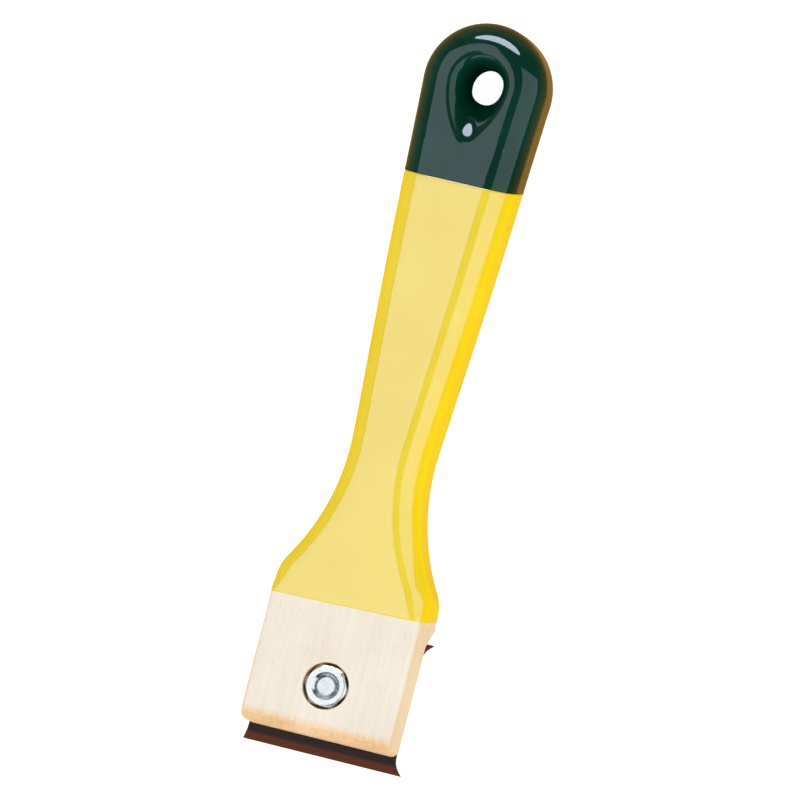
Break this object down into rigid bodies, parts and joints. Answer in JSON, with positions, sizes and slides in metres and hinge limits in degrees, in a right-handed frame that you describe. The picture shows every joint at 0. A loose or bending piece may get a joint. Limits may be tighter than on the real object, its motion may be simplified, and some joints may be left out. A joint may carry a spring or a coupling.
{
  "type": "pull scraper",
  "caption": "Flat wooden pull scraper: lacquered grip, dipped hanging end with a dished hole, and a reversible two-edge blade clamped under the bare head by a screw in a sunk nut.",
  "frame": {"origin": "centre of the tool's outer box, on the flat underside that it lies on", "axes": "+Y from the blade to the hanging end, +Z out of the face that shows the nut, +X across the width"},
  "size_m": [0.0444, 0.2032, 0.0225],
  "materials": {
    "bare_wood": "sanded, pale, fine grain along the handle",
    "yellow_lacquer": "high gloss lacquer film",
    "green_dip": "thick gloss dipped coat",
    "zinc_plate": "bright zinc plate",
    "zinc_screw": "bright zinc plate",
    "zinc_washer": "bright zinc plate",
    "bronzed_steel": "dark brown heat-treated steel, ground edges"
  },
  "bodies": {
    "handle_body": {"handle": "bare_wood", "grip_lacquer": "yellow_lacquer", "butt_dip": "green_dip", "hex_nut": "zinc_plate"},
    "clamp_body": {"clamp_washer": "zinc_washer"},
    "screw_body": {"clamp_screw": "zinc_screw"},
    "blade_body": {"scraper_blade": "bronzed_steel"}
  },
  "joints": [
    {"name": "clamp_release", "type": "slide", "parent": "handle_body", "child": "clamp_body", "axis": [0, 0, -1], "range_m": [0, 0.00381]},
    {"name": "screw_turn", "type": "hinge", "parent": "clamp_body", "child": "screw_body", "pos_m": [0, -0.0834, 0.004], "axis": [0, 0, -1], "range_deg": [0, 1080.5]},
    {"name": "blade_swivel", "type": "hinge", "parent": "clamp_body", "child": "blade_body", "pos_m": [0, -0.0834, 0.008], "axis": [0, 0, 1], "range_deg": [-3, 3]}
  ],
  "couplings": [
    {"joint": "screw_turn", "follows": "clamp_release", "rad_per_m": 4947.4}
  ]
}
